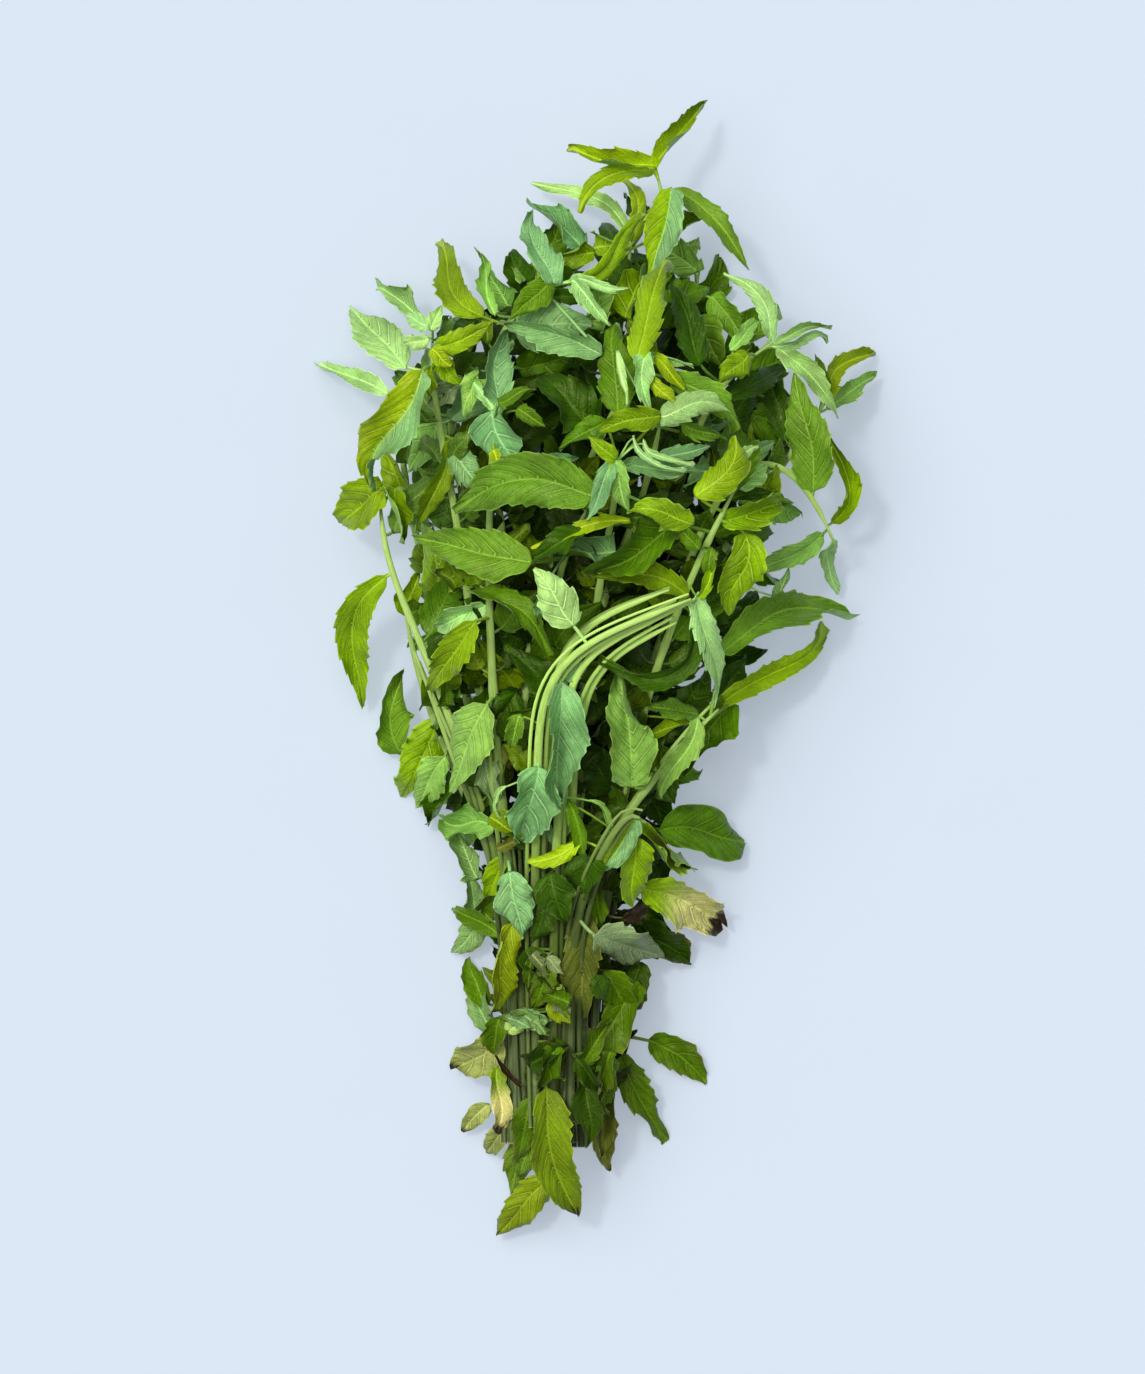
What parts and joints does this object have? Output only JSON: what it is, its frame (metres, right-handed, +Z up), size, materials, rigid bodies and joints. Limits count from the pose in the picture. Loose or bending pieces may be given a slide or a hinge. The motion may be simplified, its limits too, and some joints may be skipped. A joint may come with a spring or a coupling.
{
  "type": "bunch of mint",
  "caption": "Bunch of fresh mint lying flat: leafy square stems gathered at their cut ends and fanning into a full head of toothed leaves",
  "frame": {"origin": "centre of the bunch's outline seen from above, on the surface that it lies on", "axes": "+Y runs from the cut stem ends to the leafy tips, +Z points up from the surface, +X is to the right seen from above with the tips away"},
  "size_m": [0.1594, 0.3183, 0.078],
  "materials": {
    "stem_and_leaf": "fresh mint leaf and stem, soft satin green with pale veins",
    "wilted_leaf": "wilted yellow-green leaf with brown edges, dry and matte"
  },
  "bodies": {
    "root": {"stem_floor_left": "stem_and_leaf", "stem_floor": "stem_and_leaf", "stem_floor_middle": "stem_and_leaf", "stem_floor_right": "stem_and_leaf", "stem_lower_left": "stem_and_leaf", "stem_inner_left": "stem_and_leaf", "stem_crown": "stem_and_leaf", "stem_top": "stem_and_leaf", "stem_right": "stem_and_leaf", "stem_left": "stem_and_leaf", "stem_upper_left": "stem_and_leaf", "stem_big_leaf": "stem_and_leaf", "stem_right_upper": "stem_and_leaf", "stem_outer_right": "stem_and_leaf", "stem_outer_left": "stem_and_leaf", "stem_middle_upper": "stem_and_leaf", "stem_middle": "stem_and_leaf", "stem_star": "stem_and_leaf", "stem_fan": "stem_and_leaf", "stem_middle_left": "stem_and_leaf", "stem_bent_inner": "stem_and_leaf", "stem_bent_lower": "stem_and_leaf", "stem_side_right": "stem_and_leaf", "stem_bent_outer": "stem_and_leaf", "stem_bent_middle": "stem_and_leaf", "stem_side_low": "stem_and_leaf", "leaf_wilted_right": "wilted_leaf", "leaf_yellow_spotted": "wilted_leaf", "leaf_long_end": "wilted_leaf", "leaf_pale_end": "wilted_leaf", "leaf_wilted_left": "wilted_leaf", "leaf_cream_curled": "wilted_leaf"}
  },
  "joints": []
}
